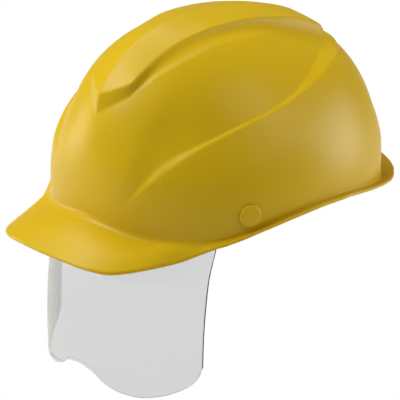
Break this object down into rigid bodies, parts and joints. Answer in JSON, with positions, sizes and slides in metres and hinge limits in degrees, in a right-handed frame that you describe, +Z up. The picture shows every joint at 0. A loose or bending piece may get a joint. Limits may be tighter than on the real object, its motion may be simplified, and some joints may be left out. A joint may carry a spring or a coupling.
{
  "type": "hard hat",
  "caption": "Cap-style safety helmet with a raised crown ridge, front brim, rim gutter and a clear face shield that swings up inside the shell.",
  "frame": {"origin": "centre of the headband's opening, level with the shell's rim above the ears", "axes": "+Z up, the wearer faces -Y, +X towards the wearer's left"},
  "size_m": [0.2078, 0.2905, 0.2336],
  "materials": {
    "shell_yellow": "satin moulded, fine surface texture",
    "clear_sheet": "clear polished sheet with bevelled edges",
    "dark_plastic": "moulded, matt",
    "grey_plastic": "moulded, matt",
    "steel": "zinc plated",
    "webbing": "woven narrow webbing",
    "sweat_cloth": "knitted towelling over foam",
    "foam": "fused foam beads"
  },
  "bodies": {
    "helmet": {"shell": "shell_yellow", "headband": "dark_plastic", "sweatband": "sweat_cloth", "impact_liner": "foam", "side_pin_left": "shell_yellow", "guide_rail_left": "dark_plastic", "rail_post_left": "dark_plastic", "rail_screw_left": "steel", "nape_stud_left": "dark_plastic", "side_pin_right": "shell_yellow", "guide_rail_right": "dark_plastic", "rail_post_right": "dark_plastic", "rail_screw_right": "steel", "nape_stud_right": "dark_plastic", "crown_strap_1": "webbing", "crown_strap_2": "webbing", "crown_strap_3": "webbing", "suspension_hook_1": "grey_plastic", "suspension_hook_2": "grey_plastic", "suspension_hook_3": "grey_plastic", "suspension_hook_4": "grey_plastic"},
    "shield": {"face_shield": "clear_sheet", "shield_slider_left": "grey_plastic", "shield_rivet_1_left": "steel", "shield_rivet_2_left": "steel", "shield_slider_right": "grey_plastic", "shield_rivet_1_right": "steel", "shield_rivet_2_right": "steel"},
    "nape": {"nape_band": "dark_plastic", "ratchet_housing": "dark_plastic", "ratchet_cover": "sweat_cloth"},
    "knob": {"ratchet_knob": "grey_plastic", "ratchet_pinion": "grey_plastic"}
  },
  "joints": [
    {"name": "shield_swing", "type": "hinge", "parent": "helmet", "child": "shield", "pos_m": [0, 0.06, -0.09], "axis": [-1, 0, 0], "range_deg": [0, 35]},
    {"name": "nape_slide", "type": "slide", "parent": "helmet", "child": "nape", "axis": [0, -1, 0], "range_m": [0, 0.009]},
    {"name": "knob_turn", "type": "hinge", "parent": "nape", "child": "knob", "pos_m": [0, 0.105, -0.033], "axis": [0, 1, 0], "range_deg": [0, 72]}
  ],
  "couplings": [
    {"joint": "knob_turn", "follows": "nape_slide", "rad_per_m": 136.99}
  ]
}
